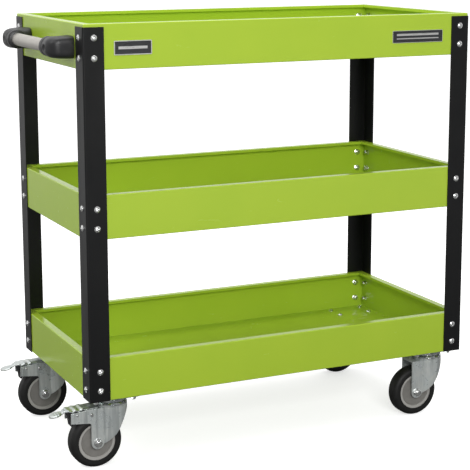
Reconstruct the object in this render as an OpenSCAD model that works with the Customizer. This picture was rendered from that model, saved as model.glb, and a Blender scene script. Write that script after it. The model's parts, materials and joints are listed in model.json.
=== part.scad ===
// Three-tier workshop trolley: folded sheet trays bolted into four angle
// legs, a push handle on the left end and four swivel castors, the two
// left ones with foot brakes. Millimetres, +Z up, +X away from the handle,
// +Y to the back. The floor is z = 0 and the origin is below the middle of
// the whole object's length, so the trays' own middle lies a little to +X.

/* [Overall size] */
// Length over the legs, without handle and brake pedals
trolley_length = 850; // [500:1:1200]
// Width over the legs
trolley_width = 425; // [300:1:700]
// Height of the top tray's rim above the floor
trolley_height = 872; // [600:1:1100]
// Height of the middle tray's underside above the floor
middle_tray_height = 463; // [250:1:700]

/* [Trays] */
// Depth of each tray
tray_depth = 86; // [50:1:150]
// Thickness of the tray sheet
tray_sheet = 1.2; // [0.8:0.1:2]
// Width of the flat rim turned inward along each wall
rim_width = 16; // [8:1:30]
// Height of the return turned down from the rim's inner edge
rim_return = 6; // [3:0.5:12]
// Outer radius of the folds
fold_radius = 2; // [1:0.1:4]
// Width of the corner tabs folded against the long walls
corner_tab = 10; // [6:0.5:12]

/* [Legs] */
// Width of each flange of the leg angle
leg_flange = 42; // [30:1:60]
// Thickness of the leg angle
leg_thickness = 2; // [1.5:0.1:4]
// Outer radius of the leg's folded corner
leg_corner_radius = 3; // [2.5:0.1:6]
// Distance of the leg's top below the top rim
leg_drop = 6; // [0:0.5:20]

/* [Fasteners] */
// Diameter of every tray and castor screw
screw_diameter = 6; // [4:0.5:8]
// Diameter of a screw's pan head
screw_head_diameter = 12.4; // [9:0.1:15]
// Height of a screw's pan head
screw_head_height = 3.6; // [2:0.1:5]
// Gap all round a screw in its hole
hole_gap = 0.3; // [0.1:0.05:0.6]
// Size across the flats of a nut
nut_across_flats = 10; // [7:0.5:13]
// Height of a nut with its flange
nut_height = 6; // [4:0.1:8]
// Diameter of a nut's flange
nut_flange_diameter = 13; // [10:0.1:16]
// Length of screw standing out of its nut
screw_tail = 1.6; // [0.5:0.1:4]
// Distance of the leg screws from the leg's outer corner
leg_screw_inset = 22; // [17:0.5:28]
// Height of the lower leg screws above a tray's underside
lower_screw_height = 22; // [14:0.5:30]
// Height of the upper leg screws above a tray's underside
upper_screw_height = 60; // [45:0.5:68]

/* [Handle] */
// Diameter of the handle tube
handle_diameter = 25; // [18:0.5:32]
// Wall of the handle tube
handle_wall = 1.5; // [1:0.1:3]
// Visible length of the tube between its brackets
handle_grip_length = 194; // [140:1:220]
// Distance of the tube's axis from the end wall
handle_reach = 33; // [30:1:50]
// Distance of the tube's axis below the middle of the top tray's wall
handle_drop = 3.5; // [0:0.5:8]
// Wall of the bracket round the tube
collar_wall = 6.5; // [5:0.5:9]
// Length of the lip where the tube enters its bracket
lip_length = 4; // [2:0.5:8]
// Depth of the tube's socket in the bracket
socket_depth = 20; // [14:1:28]
// Length of a bracket along the tube
bracket_length = 65; // [56:1:80]
// Distance of the foot's inner end from the lip's face
foot_setback = 11; // [6:0.5:16]
// Height the bracket gains above and below towards its foot
foot_flare = 2.5; // [1:0.5:4]
// Radius of the bracket's round outer corner
bracket_corner_radius = 24; // [12:1:30]
// Radius of the round ends of the clamp screw's slot
slot_radius = 4.5; // [3:0.5:6]
// Distance between the two screws of one bracket
bracket_screw_spacing = 22; // [16:0.5:26]

/* [Name plates] */
// Length of the left blank plate
left_plate_length = 76; // [50:1:100]
// Height of the left blank plate
left_plate_height = 27; // [18:0.5:34]
// Distance of the left plate's end from the front left leg's edge
left_plate_offset = 20; // [5:1:60]
// Length of the right blank plate
right_plate_length = 120; // [60:1:150]
// Height of the right blank plate
right_plate_height = 25; // [18:0.5:34]
// Distance of the right plate's end from the front right leg's edge
right_plate_offset = 22; // [5:1:60]
// Thickness of a blank plate
plate_thickness = 1; // [0.6:0.1:2]
// Height of the raised border on a blank plate
plate_border_height = 0.6; // [0.3:0.1:1]
// Width of the raised border on a blank plate
plate_border_width = 1.6; // [1:0.1:3]

/* [Castor mounting] */
// Distance of a swivel axis from the trolley's end
castor_end_inset = 58; // [55:1:90]
// Distance of a swivel axis from the trolley's long side
castor_side_inset = 43; // [40:1:80]
// Length of a castor's top plate
top_plate_length = 98; // [90:1:112]
// Width of a castor's top plate
top_plate_width = 66; // [60:1:80]
// Thickness of a castor's top plate
top_plate_thickness = 3; // [2:0.1:4]
// Spacing of the mounting screws along the trolley
mount_spacing_x = 78; // [74:0.5:90]
// Spacing of the mounting screws across the trolley
mount_spacing_y = 44; // [40:0.5:56]

/* [Swivel head] */
// Height of the swivel head from the fork's top edge to the top plate's face
head_height = 20.5; // [19:0.5:26]
// Outer radius of the fork's round head
head_radius = 31.5; // [28:0.5:35]
// Radius of the circle of bearing balls
ball_circle_radius = 24; // [20:0.5:26]
// Diameter of a bearing ball
ball_diameter = 6; // [4:0.5:8]
// Number of bearing balls in a swivel head
ball_count = 18; // [10:1:22]
// Gap round each ball in its groove
ball_gap = 0.05; // [0.02:0.01:0.1]
// Radius of the king pin
king_pin_radius = 6; // [5:0.5:8]
// Radial gap of the running fits at king pin, wheel sleeve and pedal pin
running_gap = 0.05; // [0.02:0.01:0.1]
// Gap between faces that pass each other
face_gap = 0.4; // [0.3:0.1:1]

/* [Fork] */
// Distance of the wheel axle behind the swivel axis
trail = 36; // [28:1:45]
// Thickness of the fork sheet
fork_sheet = 2.5; // [2:0.1:4]
// Gap between the tyre's side and the fork's cheek
tyre_side_gap = 2.5; // [1.5:0.5:5]
// Gap between the tyre's top and the fork's top sheet
tyre_top_gap = 14; // [12:0.5:24]
// Radius of the cheek's round end at the axle
cheek_end_radius = 13; // [11:0.5:15]
// Length of a braked fork's arm, from the swivel axis
brake_arm_reach = 90; // [80:1:96]
// Height of a braked fork's arm
brake_arm_height = 24; // [18:0.5:26]
// Drop of a braked fork's arm along its top edge
arm_slope = 3.5; // [0:0.5:5]

/* [Wheel] */
// Diameter of the wheel
wheel_diameter = 106; // [85:1:130]
// Width of the tyre
tyre_width = 32; // [24:1:40]
// Rounding of the tyre's tread edges
tyre_edge_radius = 9; // [3:0.5:11]
// Thickness of the tyre from tread to hub
tyre_thickness = 15; // [9:0.5:18]
// Radial width of the hub's raised rim
hub_rim_thickness = 6; // [4:0.5:9]
// Distance of the hub's rim inside the tyre's side
hub_rim_inset = 2; // [0:0.5:5]
// Depth of the hub's flat face below its rim
hub_face_depth = 2; // [0.5:0.1:4]
// Radius of the hub's central boss
hub_boss_radius = 12; // [9:0.5:14]
// Outer radius of the wheel's bearing sleeve
sleeve_radius = 6.5; // [5.5:0.1:8]
// Diameter of the axle bolt
axle_diameter = 8; // [6:0.5:10]
// Size across the flats of the axle bolt's head and nut
axle_nut_across_flats = 13; // [10:0.5:17]

/* [Brake] */
// Distance of the pedal's tip from the swivel axis
pedal_reach = 128; // [120:1:150]
// Gap between the pedal's body and each fork cheek
pedal_side_gap = 1.5; // [0.5:0.5:4]
// Height of the pedal body's underside above the fork's top edge
pedal_rise = 1.5; // [0.5:0.5:2.5]
// Thickness of the pedal's sheet
pedal_sheet = 2; // [1.5:0.1:3]
// Angle of the pedal's slope at rest
pedal_tilt = 3; // [0:0.5:5]
// Distance of the pedal pin behind the swivel axis
pedal_pin_setback = 47; // [42:0.5:52]
// Depth of the pedal pin below the fork's top edge
pedal_pin_depth = 11.2; // [9:0.1:13]
// Radius of the pedal pin
pedal_pin_radius = 2.5; // [2:0.1:3]
// Angle the pedal turns down until the brake shoe meets the tyre
pedal_angle = 12; // [8:1:14]
// Gap left between brake shoe and tyre with the pedal down
shoe_gap = 0.4; // [0.3:0.1:2]
// Gap between the brake shoe and each fork cheek
shoe_side_gap = 7.5; // [2:0.5:10]

/* [Hidden] */
$fn = 64;
eps = 0.01;
half_length = trolley_length / 2;
half_width = trolley_width / 2;
wheel_radius = wheel_diameter / 2;
fork_sheet_bottom = wheel_diameter + tyre_top_gap;
fork_top = fork_sheet_bottom + fork_sheet;
castor_height = fork_top + head_height;
collar_radius = handle_diameter / 2 + collar_wall;
tray_length = trolley_length - 2 * leg_thickness;
tray_width = trolley_width - 2 * leg_thickness;
top_tray_height = trolley_height - tray_depth;
tray_heights = [castor_height, middle_tray_height, top_tray_height];
screw_radius = screw_diameter / 2;
hole_radius = screw_radius + hole_gap;
castor_x = half_length - castor_end_inset;
castor_y = half_width - castor_side_inset;
left_extent = max(castor_x + pedal_reach, tray_length / 2 + handle_reach + collar_radius);
right_extent = half_length + screw_head_height;
origin_shift = (left_extent - right_extent) / 2;

// Top plate, race and fork head, from the top down
plate_bottom = castor_height - top_plate_thickness;
ball_radius = ball_diameter / 2;
ball_height = fork_top + 10.1;
race_bottom = ball_height + 0.6;
head_top = ball_height - 0.6;
race_radius = head_radius - 1;
mount_stack = tray_sheet + top_plate_thickness + nut_height;

// Wheel and fork
fork_opening = tyre_width + 2 * tyre_side_gap;
cheek_outer = fork_opening / 2 + fork_sheet;
hub_radius = wheel_radius - tyre_thickness;
hub_rim_inner_radius = hub_radius - hub_rim_thickness;
hub_rim_width = tyre_width - 2 * hub_rim_inset;
cheek_back = -trail - cheek_end_radius;
arm_bottom = fork_top - brake_arm_height;
axle_radius = axle_diameter / 2;
axle_washer_radius = axle_nut_across_flats / 2 + 2;
axle_washer_thickness = 1.2;
axle_nut_height = 6.5;
axle_head_height = 5.3;
hub_length = fork_opening - 2 * face_gap;

// Brake: the shoe's face fits the tyre when the pedal is down, so at rest
// its centre of curvature is the axle turned back about the pedal pin
pedal_height = fork_top + pedal_rise;
pedal_width = fork_opening - 2 * pedal_side_gap;
pedal_pin_height = fork_top - pedal_pin_depth;
shoe_width = fork_opening - 2 * shoe_side_gap;
pin_to_axle_x = pedal_pin_setback - trail;
pin_to_axle_z = wheel_radius - pedal_pin_height;
shoe_centre_x = -pedal_pin_setback + pin_to_axle_x * cos(pedal_angle)
    + pin_to_axle_z * sin(pedal_angle);
shoe_centre_z = pedal_pin_height - pin_to_axle_x * sin(pedal_angle)
    + pin_to_axle_z * cos(pedal_angle);
shoe_face_radius = wheel_radius + shoe_gap;
toe_radius = 13;
neck_width = 15;
pedal_inner_end = head_radius + 2;
pedal_body_end = brake_arm_reach + 9;

// Handle
tube_x = -tray_length / 2 - handle_reach;
handle_height = top_tray_height + tray_depth / 2 - handle_drop;
bracket_start = handle_grip_length / 2;
bracket_depth = handle_reach + collar_radius;
foot_half_height = collar_radius + foot_flare;
foot_y = bracket_start + (foot_setback + bracket_length) / 2;
tube_half_length = bracket_start + socket_depth;

// Placing

module in_frame() {
    translate([origin_shift, 0, 0])
        children();
}

module at_castor(end, side) {
    in_frame()
        translate([end * castor_x, side * castor_y, 0])
            children();
}

module at_all_castors() {
    for (end = [-1, 1], side = [-1, 1])
        at_castor(end, side)
            children();
}

// The four mounting screws of one castor, measured from its swivel axis
module at_mount_screws() {
    for (i = [-1, 1], j = [-1, 1])
        translate([i * mount_spacing_x / 2, j * mount_spacing_y / 2, 0])
            children();
}

// Leg screws of one tray: z = 0 on the leg's outer face, +Z outward
module at_leg_screws(height) {
    for (end = [-1, 1], side = [-1, 1], level = [lower_screw_height, upper_screw_height]) {
        translate([end * (half_length - leg_screw_inset), side * half_width, height + level])
            rotate([-90 * side, 0, 0])
                children();
        translate([end * half_length, side * (half_width - leg_screw_inset), height + level])
            rotate([0, 90 * end, 0])
                children();
    }
}

// The two screws of each handle bracket: z = 0 on the end wall's inner face, +Z inward
module at_bracket_screws(side) {
    for (level = [-1, 1])
        translate([-tray_length / 2 + tray_sheet, side * foot_y,
                   handle_height + level * bracket_screw_spacing / 2])
            rotate([0, 90, 0])
                children();
}

// Fasteners

module pan_head_screw(length) {
    difference() {
        union() {
            intersection() {
                cylinder(r = screw_head_diameter / 2, h = screw_head_height);
                translate([0, 0, screw_head_height - screw_head_diameter * 0.72])
                    sphere(r = screw_head_diameter * 0.72);
            }
            translate([0, 0, -length])
                cylinder(r = screw_radius, h = length + eps);
        }
        for (turn = [0, 90])
            rotate([0, 0, turn + 20])
                translate([-3.2, -0.65, screw_head_height - 1.7])
                    cube([6.4, 1.3, 3]);
    }
}

// Flanged hexagon nut, seated on z = 0 and standing down to -nut_height
module flange_nut() {
    difference() {
        union() {
            translate([0, 0, -1.2])
                cylinder(r = nut_flange_diameter / 2, h = 1.2);
            translate([0, 0, -nut_height])
                cylinder(d = nut_across_flats / cos(30), h = nut_height, $fn = 6);
        }
        translate([0, 0, -nut_height - 1])
            cylinder(r = screw_radius, h = nut_height + 2);
    }
}

// Trays

// One folded wall's section: wall, rim and return, outer face on x = 0
module wall_section() {
    difference() {
        union() {
            square([tray_sheet, tray_depth]);
            square([fold_radius + 1, tray_sheet]);
            translate([0, tray_depth - tray_sheet])
                square([rim_width, tray_sheet]);
            translate([rim_width - tray_sheet, tray_depth - rim_return])
                square([tray_sheet, rim_return]);
        }
        for (level = [0, 1])
            translate([0, level * tray_depth])
                mirror([0, level])
                    difference() {
                        translate([-1, -1])
                            square(fold_radius + 1);
                        translate([fold_radius, fold_radius])
                            circle(r = fold_radius);
                    }
    }
}

// One mitred wall along X, with its outer face on y = -across / 2
module tray_wall(along, across) {
    intersection() {
        translate([0, -across / 2, 0])
            rotate([90, 0, 90])
                linear_extrude(along, center = true)
                    wall_section();
        linear_extrude(tray_depth)
            polygon([
                [-along / 2, -across / 2],
                [along / 2, -across / 2],
                [along / 2 - 60, -across / 2 + 60],
                [-along / 2 + 60, -across / 2 + 60]
            ]);
    }
}

module corner_tabs() {
    for (end = [-1, 1], side = [-1, 1])
        translate([
            end * (tray_length / 2 - tray_sheet - corner_tab / 2),
            side * (tray_width / 2 - 1.5 * tray_sheet),
            tray_depth / 2
        ])
            cube([corner_tab, tray_sheet, tray_depth - 2 * rim_return], center = true);
}

// The open mitre joints in the rim's four corners
module rim_mitres() {
    for (end = [-1, 1], side = [-1, 1])
        translate([
            end * (tray_length / 2 - 3),
            side * (tray_width / 2 - 3),
            tray_depth - rim_return - 1
        ])
            rotate([0, 0, 45 * end * side])
                translate([end > 0 ? -40 : 0, -0.2, 0])
                    cube([40, 0.4, rim_return + 2]);
}

module tray_blank() {
    difference() {
        union() {
            for (turn = [0, 180])
                rotate([0, 0, turn]) {
                    tray_wall(tray_length, tray_width);
                    rotate([0, 0, 90])
                        tray_wall(tray_width, tray_length);
                }
            translate([-tray_length / 2 + fold_radius, -tray_width / 2 + fold_radius, 0])
                cube([tray_length - 2 * fold_radius, tray_width - 2 * fold_radius, tray_sheet]);
            corner_tabs();
        }
        rim_mitres();
        at_leg_screws(0)
            translate([0, 0, -leg_thickness - 4])
                cylinder(r = hole_radius, h = 10);
    }
}

module top_tray() {
    color([0.60, 0.74, 0.16])
        in_frame()
            difference() {
                translate([0, 0, top_tray_height])
                    tray_blank();
                for (side = [-1, 1])
                    at_bracket_screws(side)
                        translate([0, 0, -5])
                            cylinder(r = hole_radius, h = 10);
            }
}

module middle_tray() {
    color([0.60, 0.74, 0.16])
        in_frame()
            translate([0, 0, middle_tray_height])
                tray_blank();
}

module bottom_tray() {
    color([0.60, 0.74, 0.16])
        difference() {
            in_frame()
                translate([0, 0, castor_height])
                    tray_blank();
            at_all_castors()
                at_mount_screws()
                    translate([0, 0, castor_height - 3])
                        cylinder(r = hole_radius, h = 10);
        }
}

// Legs

module leg(end, side) {
    color([0.06, 0.06, 0.07])
        in_frame()
            difference() {
                translate([end * half_length, side * half_width, castor_height])
                    mirror([end > 0 ? 1 : 0, 0, 0])
                        mirror([0, side > 0 ? 1 : 0, 0])
                            linear_extrude(trolley_height - leg_drop - castor_height)
                                leg_section();
                for (height = tray_heights)
                    at_leg_screws(height)
                        translate([0, 0, -leg_thickness - 3])
                            cylinder(r = hole_radius, h = leg_thickness + 6);
            }
}

// Angle section with its outer corner at the origin and flanges along +X and +Y
module leg_section() {
    difference() {
        square(leg_flange);
        translate([leg_thickness, leg_thickness])
            square(leg_flange);
        difference() {
            translate([-1, -1])
                square(leg_corner_radius + 1);
            translate([leg_corner_radius, leg_corner_radius])
                circle(r = leg_corner_radius);
        }
    }
}

module leg_front_left() {
    leg(-1, -1);
}

module leg_front_right() {
    leg(1, -1);
}

module leg_back_left() {
    leg(-1, 1);
}

module leg_back_right() {
    leg(1, 1);
}

module tray_screws() {
    color([0.75, 0.76, 0.76])
        in_frame()
            for (height = tray_heights)
                at_leg_screws(height)
                    pan_head_screw(leg_thickness + tray_sheet + nut_height + screw_tail);
}

module tray_nuts() {
    color([0.7, 0.71, 0.7])
        in_frame()
            for (height = tray_heights)
                at_leg_screws(height)
                    translate([0, 0, -leg_thickness - tray_sheet])
                        flange_nut();
}

// Handle

module handle_tube() {
    color([0.6, 0.6, 0.57])
        in_frame()
            translate([tube_x, 0, handle_height])
                rotate([90, 0, 0])
                    difference() {
                        cylinder(r = handle_diameter / 2, h = 2 * tube_half_length, center = true);
                        cylinder(r = handle_diameter / 2 - handle_wall,
                                 h = 2 * tube_half_length + 2, center = true);
                    }
}

module rounded_rectangle(width, height, radius) {
    square([width - 2 * radius, height], center = true);
    square([width, height - 2 * radius], center = true);
    for (i = [-1, 1], j = [-1, 1])
        translate([i * (width / 2 - radius), j * (height / 2 - radius)])
            circle(r = radius);
}

// Bracket outline from above: x is the distance from the end wall,
// y the distance from the lip's face along the tube
module bracket_plan() {
    radius = bracket_corner_radius;
    polygon([
        [0, foot_setback],
        [handle_reach - collar_radius, lip_length],
        [bracket_depth, lip_length],
        [bracket_depth, bracket_length - radius],
        [bracket_depth - radius, bracket_length],
        [0, bracket_length]
    ]);
    translate([bracket_depth - radius, bracket_length - radius])
        circle(r = radius);
}

// Bracket outline along the tube: y is the height from the tube's axis
module bracket_side() {
    polygon([
        [0, -foot_half_height],
        [0, foot_half_height],
        [handle_reach, collar_radius],
        [handle_reach, -collar_radius]
    ]);
    translate([handle_reach, 0])
        circle(r = collar_radius);
}

// Moulded bracket on the -Y end of the tube
module handle_bracket() {
    lip_radius = collar_radius - 1.5;
    color([0.05, 0.05, 0.055])
        difference() {
            translate([-tray_length / 2, -bracket_start, handle_height])
                rotate([0, 0, 180])
                    difference() {
                        union() {
                            intersection() {
                                linear_extrude(3 * foot_half_height, center = true)
                                    bracket_plan();
                                translate([0, bracket_length, 0])
                                    rotate([90, 0, 0])
                                        linear_extrude(bracket_length)
                                            bracket_side();
                            }
                            translate([handle_reach, lip_length + 1, 0])
                                rotate([90, 0, 0])
                                    cylinder(r = lip_radius, h = lip_length + 1);
                        }
                        // Socket for the tube
                        translate([handle_reach, socket_depth, 0])
                            rotate([90, 0, 0])
                                cylinder(r = handle_diameter / 2, h = socket_depth + 1);
                        // Slot with the clamp screw's seat
                        translate([bracket_depth - 4, bracket_length / 2, 0])
                            rotate([0, 90, 0])
                                for (end = [-1, 1])
                                    translate([0, end * 3, 0])
                                        cylinder(r = slot_radius, h = 5);
                        translate([bracket_depth - 4, bracket_length / 2 - 3, -slot_radius])
                            cube([5, 6, 2 * slot_radius]);
                    }
            // Pilot holes for the screws
            at_bracket_screws(-1)
                translate([0, 0, -tray_sheet - 16])
                    cylinder(r = screw_radius, h = 17);
        }
}

module handle_bracket_front() {
    in_frame()
        handle_bracket();
}

module handle_bracket_back() {
    in_frame()
        mirror([0, 1, 0])
            handle_bracket();
}

module handle_screws() {
    color([0.75, 0.76, 0.76])
        in_frame()
            for (side = [-1, 1])
                at_bracket_screws(side)
                    pan_head_screw(tray_sheet + 15);
}

// Blank name plates

module blank_plate(length, height, bars) {
    rotate([90, 0, 0]) {
        linear_extrude(plate_thickness)
            rounded_rectangle(length, height, 2);
        linear_extrude(plate_thickness + plate_border_height)
            difference() {
                rounded_rectangle(length, height, 2);
                rounded_rectangle(length - 2 * plate_border_width,
                                  height - 2 * plate_border_width, 1);
            }
        for (bar = bars)
            translate([bar[0], bar[1], 0])
                linear_extrude(plate_thickness + plate_border_height / 2)
                    rounded_rectangle(bar[2], bar[3], bar[3] / 2 - eps);
    }
}

module name_plate_left() {
    color([0.1, 0.1, 0.11])
        in_frame()
            translate([
                -half_length + leg_flange + left_plate_offset + left_plate_length / 2,
                -tray_width / 2,
                top_tray_height + tray_depth / 2 - 3
            ])
                blank_plate(left_plate_length, left_plate_height, [
                    [0, 0, left_plate_length - 18, 5]
                ]);
}

module name_plate_right() {
    color([0.1, 0.1, 0.11])
        in_frame()
            translate([
                half_length - leg_flange - right_plate_offset - right_plate_length / 2,
                -tray_width / 2,
                top_tray_height + tray_depth / 2 - 2
            ])
                blank_plate(right_plate_length, right_plate_height, [
                    [0, 4, right_plate_length - 20, 4],
                    [0, -4, right_plate_length - 20, 2]
                ]);
}

// Castor mounting

module castor_mount_screws() {
    color([0.75, 0.76, 0.76])
        at_all_castors()
            at_mount_screws()
                translate([0, 0, castor_height + tray_sheet])
                    pan_head_screw(mount_stack + screw_tail);
}

module castor_mount_nuts() {
    color([0.7, 0.71, 0.7])
        at_all_castors()
            at_mount_screws()
                translate([0, 0, plate_bottom])
                    flange_nut();
}

// Top plate with the upper race pressed down from it
module castor_plate() {
    color([0.7, 0.72, 0.72])
        difference() {
            union() {
                translate([0, 0, plate_bottom])
                    linear_extrude(top_plate_thickness)
                        rounded_rectangle(top_plate_length, top_plate_width, 5);
                rotate_extrude()
                    polygon([
                        [0, plate_bottom + eps],
                        [race_radius - 3, plate_bottom + eps],
                        [race_radius, plate_bottom - 2.4],
                        [race_radius, race_bottom + 0.8],
                        [race_radius - 0.8, race_bottom],
                        [king_pin_radius + 6, race_bottom],
                        [king_pin_radius + 3, race_bottom + 2],
                        [0, race_bottom + 2]
                    ]);
            }
            rotate_extrude()
                translate([ball_circle_radius, ball_height])
                    circle(r = ball_radius + ball_gap);
            translate([0, 0, race_bottom - 1])
                cylinder(r = king_pin_radius, h = castor_height - race_bottom + 2);
            translate([0, 0, castor_height - 2])
                cylinder(r1 = king_pin_radius, r2 = king_pin_radius + 3, h = 2);
            at_mount_screws()
                translate([0, 0, plate_bottom - 1])
                    cylinder(r = hole_radius, h = top_plate_thickness + 2);
        }
}

// Rivet through plate and fork, with a countersunk top and a flat lower head
module king_pin() {
    color([0.62, 0.64, 0.64])
        rotate_extrude()
            polygon([
                [0, castor_height],
                [king_pin_radius + 3, castor_height],
                [king_pin_radius, castor_height - 2],
                [king_pin_radius, fork_sheet_bottom - face_gap],
                [king_pin_radius + 4, fork_sheet_bottom - face_gap],
                [king_pin_radius + 4, fork_sheet_bottom - face_gap - 2],
                [king_pin_radius + 2, fork_sheet_bottom - face_gap - 4],
                [0, fork_sheet_bottom - face_gap - 4]
            ]);
}

module bearing_balls() {
    color([0.8, 0.8, 0.8])
        for (i = [0 : ball_count - 1])
            rotate([0, 0, i * 360 / ball_count])
                translate([ball_circle_radius, 0, ball_height])
                    sphere(r = ball_radius, $fn = 24);
}

// Side outline of the fork in X and Z, from the swivel axis and the floor
module cheek_outline(braked) {
    translate([-trail, wheel_radius])
        circle(r = cheek_end_radius);
    polygon([
        [cheek_back, wheel_radius],
        [cheek_back, fork_top],
        [head_radius + 1, fork_top],
        [head_radius - 1, fork_top - 3],
        [head_radius - 4.5, fork_top - 8],
        [head_radius - 9.5, fork_top - 16],
        [head_radius - 15.5, fork_top - 27],
        [head_radius - 23, fork_top - 40],
        [head_radius - 32, fork_top - 53],
        [-trail + 24, wheel_radius + 6],
        [-trail + cheek_end_radius - 1, wheel_radius - 4]
    ]);
    if (braked) {
        polygon([
            [-brake_arm_reach, arm_bottom],
            [-brake_arm_reach, fork_top - arm_slope],
            [cheek_back, fork_top],
            [cheek_back, arm_bottom - arm_slope],
            [cheek_back - 5, arm_bottom - arm_slope]
        ]);
        difference() {
            translate([cheek_back - 5, arm_bottom - arm_slope - 5])
                square([5 + eps, 5 + eps]);
            translate([cheek_back - 5, arm_bottom - arm_slope - 5])
                circle(r = 5);
        }
    }
}

// Plan of the fork's sheet: two flat cheeks running into a round front
module fork_plan(extra) {
    circle(r = head_radius + extra);
    translate([-brake_arm_reach - 5, -cheek_outer - extra])
        square([brake_arm_reach + 5, 2 * cheek_outer + 2 * extra]);
}

module fork(braked) {
    shelf_back = braked ? -trail + 6 : cheek_back;
    color([0.68, 0.7, 0.71])
        difference() {
            union() {
                intersection() {
                    linear_extrude(fork_top)
                        difference() {
                            fork_plan(0);
                            fork_plan(-fork_sheet);
                        }
                    rotate([90, 0, 0])
                        linear_extrude(3 * head_radius, center = true)
                            cheek_outline(braked);
                }
                // Top sheet between the cheeks
                translate([0, 0, fork_sheet_bottom])
                    linear_extrude(fork_sheet)
                        intersection() {
                            fork_plan(-eps);
                            translate([shelf_back, -head_radius - 1])
                                square([2 * head_radius + 60, 2 * head_radius + 2]);
                        }
                // Raised lower race
                rotate_extrude()
                    polygon([
                        [ball_circle_radius - 10, fork_top - eps],
                        [head_radius - 1, fork_top - eps],
                        [head_radius, fork_top + 2],
                        [head_radius, head_top - 3],
                        [head_radius - 2, head_top],
                        [ball_circle_radius - 5, head_top],
                        [ball_circle_radius - 8, head_top - 4]
                    ]);
                // Pressed ridges near the ends of the brake arms
                if (braked)
                    for (side = [-1, 1])
                        intersection() {
                            translate([-brake_arm_reach + 5, side * (cheek_outer - 0.4), arm_bottom + 1])
                                cylinder(r = 1.6, h = brake_arm_height - arm_slope - 2);
                            translate([-brake_arm_reach, side * (cheek_outer + 2) - 3, 0])
                                cube([20, 6, 200]);
                        }
            }
            rotate_extrude()
                translate([ball_circle_radius, ball_height])
                    circle(r = ball_radius + ball_gap);
            translate([0, 0, fork_sheet_bottom - 1])
                cylinder(r = king_pin_radius + running_gap, h = 30);
            translate([-trail, 0, wheel_radius])
                rotate([90, 0, 0])
                    cylinder(r = axle_radius, h = 100, center = true);
            if (braked) {
                translate([-pedal_pin_setback, 0, pedal_pin_height])
                    rotate([90, 0, 0])
                        cylinder(r = pedal_pin_radius, h = 100, center = true);
                translate([-brake_arm_reach + 13, 0, pedal_pin_height + 3])
                    rotate([90, 0, 0])
                        cylinder(r = 1.5, h = 100, center = true);
            }
        }
}

// Axle bolt with head at the back, nut at the front and a washer under each
module axle() {
    color([0.78, 0.79, 0.78])
        translate([-trail, 0, wheel_radius])
            rotate([90, 0, 0]) {
                translate([0, 0, -cheek_outer - axle_washer_thickness])
                    cylinder(r = axle_radius, h = 2 * cheek_outer + 2 * axle_washer_thickness
                             + axle_nut_height + 1.5);
                for (side = [0, 1])
                    mirror([0, 0, side])
                        translate([0, 0, cheek_outer])
                            cylinder(r = axle_washer_radius, h = axle_washer_thickness);
                translate([0, 0, cheek_outer + axle_washer_thickness])
                    intersection() {
                        cylinder(d = axle_nut_across_flats / cos(30), h = axle_nut_height, $fn = 6);
                        cylinder(r1 = axle_nut_across_flats / 2 + 4,
                                 r2 = axle_nut_across_flats / 2 - 0.4, h = axle_nut_height);
                    }
                translate([0, 0, -cheek_outer - axle_washer_thickness - axle_head_height])
                    cylinder(d = axle_nut_across_flats / cos(30), h = axle_head_height, $fn = 6);
            }
}

module sleeve() {
    color([0.6, 0.6, 0.58])
        translate([-trail, 0, wheel_radius])
            rotate([90, 0, 0])
                difference() {
                    cylinder(r = sleeve_radius, h = fork_opening, center = true);
                    cylinder(r = axle_radius + 0.1, h = fork_opening + 2, center = true);
                }
}

module hub() {
    half = hub_rim_width / 2;
    face = half - hub_face_depth;
    color([0.55, 0.55, 0.53])
        translate([-trail, 0, wheel_radius])
            rotate([90, 0, 0])
                rotate_extrude($fn = 96)
                    polygon([
                        [sleeve_radius + running_gap, -hub_length / 2],
                        [hub_boss_radius - 1.5, -hub_length / 2],
                        [hub_boss_radius, -face - 1],
                        [hub_boss_radius + 1, -face],
                        [hub_rim_inner_radius - 1, -face],
                        [hub_rim_inner_radius - 1, -face + 1],
                        [hub_rim_inner_radius, -face + 1],
                        [hub_rim_inner_radius + 0.5, -half],
                        [hub_radius, -half],
                        [hub_radius, half],
                        [hub_rim_inner_radius + 0.5, half],
                        [hub_rim_inner_radius, face - 1],
                        [hub_rim_inner_radius - 1, face - 1],
                        [hub_rim_inner_radius - 1, face],
                        [hub_boss_radius + 1, face],
                        [hub_boss_radius, face + 1],
                        [hub_boss_radius - 1.5, hub_length / 2],
                        [sleeve_radius + running_gap, hub_length / 2]
                    ]);
}

module tyre() {
    crown = wheel_radius - tyre_edge_radius;
    edge = tyre_width / 2 - tyre_edge_radius;
    color([0.07, 0.07, 0.07])
        translate([-trail, 0, wheel_radius])
            rotate([90, 0, 0])
                rotate_extrude($fn = 96)
                    difference() {
                        union() {
                            translate([hub_radius, -tyre_width / 2])
                                square([crown - hub_radius, tyre_width]);
                            translate([hub_radius, -edge])
                                square([wheel_radius - hub_radius, 2 * edge]);
                            for (side = [-1, 1])
                                translate([crown, side * edge])
                                    circle(r = tyre_edge_radius);
                        }
                        translate([0, -tyre_width])
                            square([hub_radius, 2 * tyre_width]);
                    }
}

// Brake

module pedal_plan() {
    polygon([
        [-pedal_inner_end, -pedal_width / 2],
        [-pedal_inner_end, pedal_width / 2],
        [-pedal_body_end + 11, pedal_width / 2],
        [-pedal_body_end, neck_width / 2 + 3],
        [-pedal_body_end, -neck_width / 2 - 3],
        [-pedal_body_end + 11, -pedal_width / 2]
    ]);
    translate([-pedal_reach + toe_radius, -neck_width / 2])
        square([pedal_reach - pedal_body_end - toe_radius + 6, neck_width]);
    translate([-pedal_reach + toe_radius, 0])
        circle(r = toe_radius);
}

// Turns the pedal about its pin to its slope at rest
module tilted() {
    translate([-pedal_pin_setback, 0, pedal_pin_height])
        rotate([0, -pedal_tilt, 0])
            translate([pedal_pin_setback, 0, -pedal_pin_height])
                children();
}

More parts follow.
